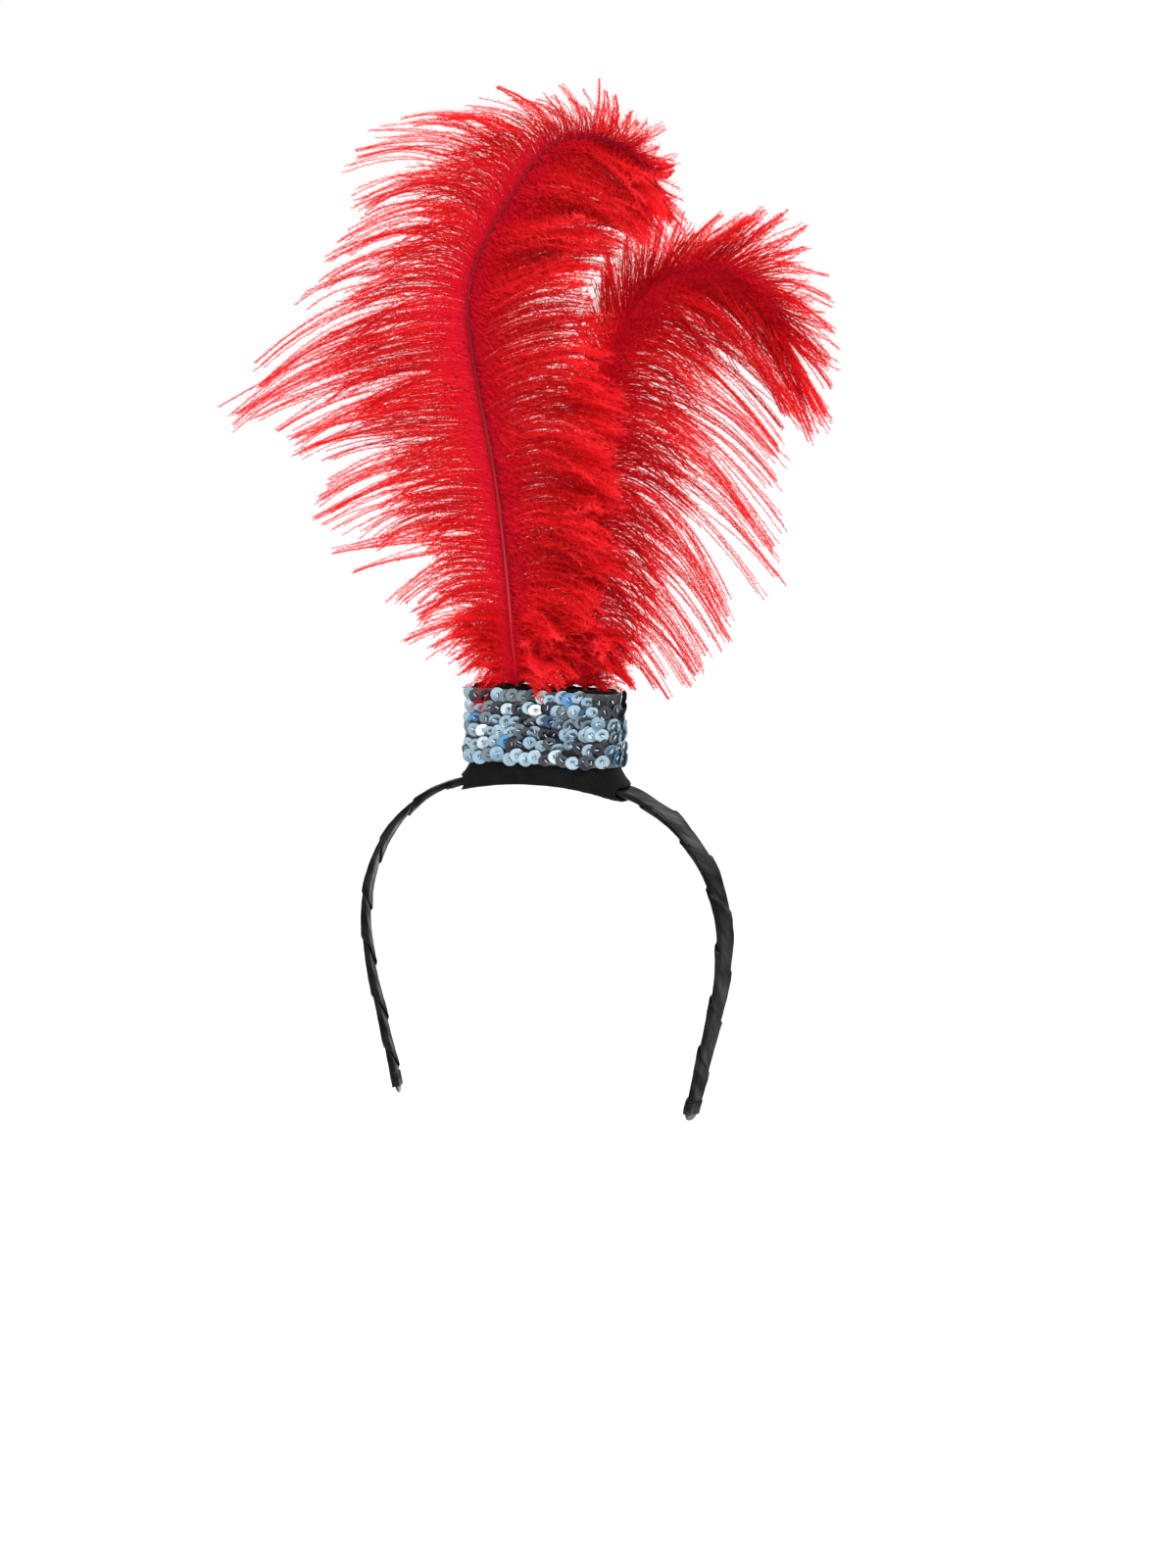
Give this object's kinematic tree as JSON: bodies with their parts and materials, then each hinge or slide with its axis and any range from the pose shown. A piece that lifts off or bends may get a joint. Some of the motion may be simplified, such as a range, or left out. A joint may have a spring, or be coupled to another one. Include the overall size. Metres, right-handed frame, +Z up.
{
  "type": "flapper headband",
  "caption": "Ribbon-wound head hoop with an upright felt pocket on the crown, banded with cup sequins, holding curled ostrich plumes.",
  "frame": {"origin": "under the felt at the middle of the crown, where the headband rests on top of the head", "axes": "+Z up through the plumes, -Y the way the wearer faces, +X to the wearer's left"},
  "size_m": [0.2474, 0.0548, 0.408],
  "materials": {
    "hoop_plastic": "polished black plastic",
    "black_satin": "black satin ribbon with a soft sheen",
    "black_felt": "dull black felt",
    "silver_sequins": "metallised silver-blue cup sequins",
    "red_plume": "dyed red ostrich down"
  },
  "bodies": {
    "root": {"hoop": "hoop_plastic", "ribbon_winding": "black_satin", "holder": "black_felt", "sequin_trim": "silver_sequins", "quill_tall": "red_plume", "quill_side": "red_plume", "plume_tall": "red_plume", "plume_side": "red_plume"}
  },
  "joints": []
}
